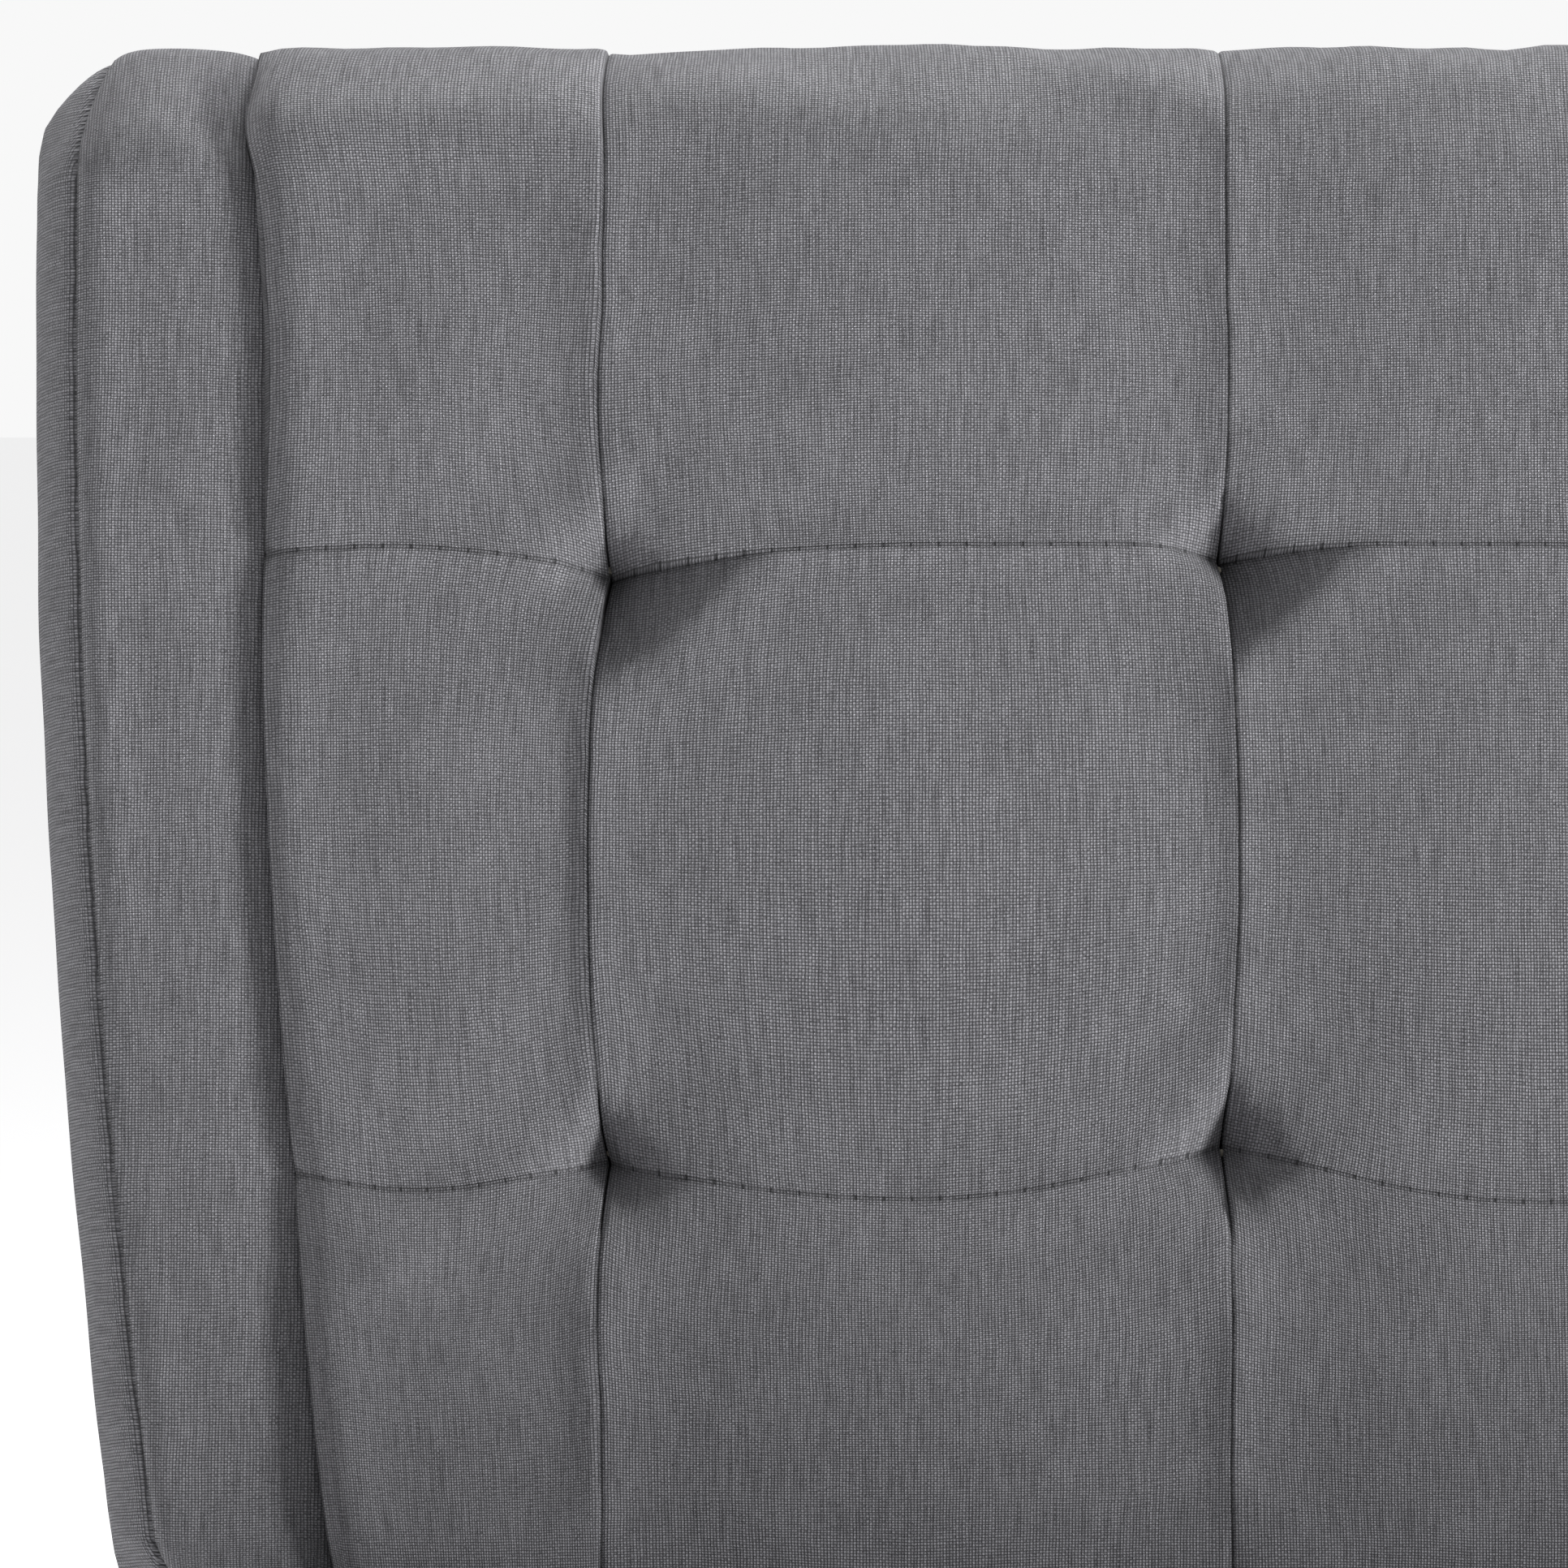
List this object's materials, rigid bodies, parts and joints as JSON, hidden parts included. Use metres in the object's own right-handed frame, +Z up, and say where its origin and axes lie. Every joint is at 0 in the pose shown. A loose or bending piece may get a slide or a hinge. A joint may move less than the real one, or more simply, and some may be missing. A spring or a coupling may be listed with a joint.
{
  "type": "daybed",
  "caption": "Armless upholstered daybed with a square-tufted seat and a matching back that drops level on two ratchet hinges to make a bed",
  "frame": {"origin": "On the floor, under the middle of the daybed's bounding box with the back upright", "axes": "+X to the right as seen from the front and along the daybed, +Y to the rear, +Z up"},
  "size_m": [1.91, 0.8375, 0.93],
  "materials": {
    "upholstery": "woven grey melange upholstery, plain weave",
    "gusset_fabric": "the same cloth with its grain turned a quarter",
    "lining_fabric": "black non-woven lining",
    "foam": "cut polyurethane foam",
    "felt": "needled felt",
    "turned_wood": "stained and lacquered beech, satin",
    "glide_felt": "pressed felt",
    "bumper_rubber": "matt moulded rubber",
    "base_wood": "stained and lacquered beech, satin",
    "frame_wood": "planed pine, unfinished",
    "clip_plastic": "moulded polypropylene",
    "spring_steel": "drawn spring wire, oiled",
    "twine": "waxed twine with pressed washers",
    "painted_steel": "black powder coat, satin",
    "zinc_steel": "zinc plated steel"
  },
  "bodies": {
    "base": {"back_rest_bumpers": "bumper_rubber", "base_centre_runner": "base_wood", "base_cross_rails": "base_wood", "base_left_runner": "base_wood", "base_right_runner": "base_wood", "centre_legs": "turned_wood", "hinge_pawl_pins": "zinc_steel", "hinge_pawl_springs": "spring_steel", "hinge_pivot_bolts": "zinc_steel", "hinge_pivot_nuts": "zinc_steel", "hinge_washers": "zinc_steel", "leg_front_left": "turned_wood", "leg_front_right": "turned_wood", "leg_glides": "glide_felt", "leg_hanger_bolts": "zinc_steel", "leg_mount_plates": "painted_steel", "leg_plate_screws": "zinc_steel", "leg_rear_left": "turned_wood", "leg_rear_right": "turned_wood", "seat_arm_bolts": "zinc_steel", "seat_end_boards": "frame_wood", "seat_far_rail": "frame_wood", "seat_felt_pad": "felt", "seat_fixing_bolts": "zinc_steel", "seat_foam_core": "foam", "seat_hinge_arm_left": "painted_steel", "seat_hinge_arm_right": "painted_steel", "seat_hinge_rail": "frame_wood", "seat_side_band_left": "upholstery", "seat_side_band_right": "upholstery", "seat_side_gusset_left": "gusset_fabric", "seat_side_gusset_right": "gusset_fabric", "seat_spring_clips": "clip_plastic", "seat_springs": "spring_steel", "seat_stretchers": "frame_wood", "seat_tuft_ties": "twine", "seat_tufted_pad": "upholstery", "seat_under_cover": "lining_fabric"},
    "back": {"back_arm_bolts": "zinc_steel", "back_end_boards": "frame_wood", "back_far_rail": "frame_wood", "back_felt_pad": "felt", "back_foam_core": "foam", "back_hinge_arm_left": "painted_steel", "back_hinge_arm_right": "painted_steel", "back_hinge_rail": "frame_wood", "back_side_band_left": "upholstery", "back_side_band_right": "upholstery", "back_side_gusset_left": "gusset_fabric", "back_side_gusset_right": "gusset_fabric", "back_spring_clips": "clip_plastic", "back_springs": "spring_steel", "back_stretchers": "frame_wood", "back_tuft_ties": "twine", "back_tufted_pad": "upholstery", "back_under_cover": "upholstery", "hinge_ratchet_plates": "painted_steel"},
    "pawl_left": {"hinge_pawl_left": "painted_steel"},
    "pawl_right": {"hinge_pawl_right": "painted_steel"}
  },
  "joints": [
    {"name": "back_recline", "type": "hinge", "parent": "base", "child": "back", "pos_m": [0, 0.17286, 0.365], "axis": [-1, 0, 0], "range_deg": [0, 75]},
    {"name": "pawl_lift_left", "type": "hinge", "parent": "base", "child": "pawl_left", "pos_m": [-0.42375, 0.15086, 0.341], "axis": [-1, 0, 0], "range_deg": [0, 8]},
    {"name": "pawl_lift_right", "type": "hinge", "parent": "base", "child": "pawl_right", "pos_m": [0.42375, 0.15086, 0.341], "axis": [-1, 0, 0], "range_deg": [0, 8]}
  ]
}
